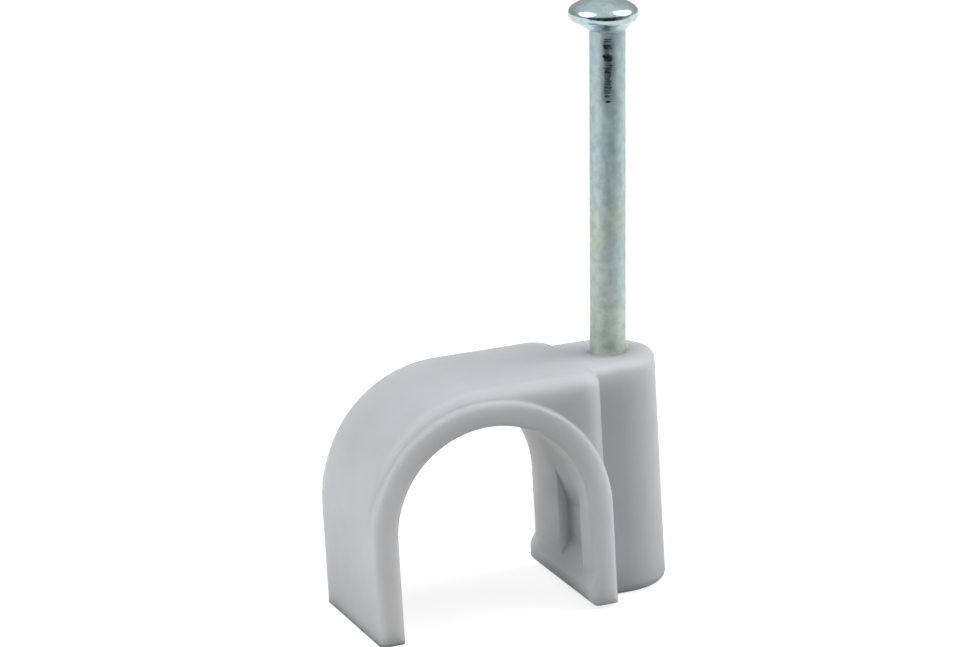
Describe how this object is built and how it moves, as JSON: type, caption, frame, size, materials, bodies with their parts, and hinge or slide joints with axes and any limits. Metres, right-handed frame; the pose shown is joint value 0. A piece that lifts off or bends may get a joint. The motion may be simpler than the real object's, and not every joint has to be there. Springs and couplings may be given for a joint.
{
  "type": "nail-in cable clip",
  "caption": "Moulded plastic saddle that hooks over a round cable, with a leaning steel nail waiting in the boss at its side to be driven into the wall.",
  "frame": {"origin": "on the cable's axis, halfway along the clip's depth", "axes": "+Z away from the wall, +Y along the cable towards the back, +X from the hook to the nail's boss"},
  "size_m": [0.0185, 0.0092, 0.0333],
  "materials": {
    "grey_plastic": "satin moulded polyethylene",
    "zinc_steel": "bright zinc plating"
  },
  "bodies": {
    "clip": {"clip_body": "grey_plastic"},
    "nail": {"nail": "zinc_steel"}
  },
  "joints": [
    {"name": "nail_drive", "type": "slide", "parent": "clip", "child": "nail", "axis": [-0.0523, 0, -0.9986], "range_m": [0, 0.0179]}
  ]
}
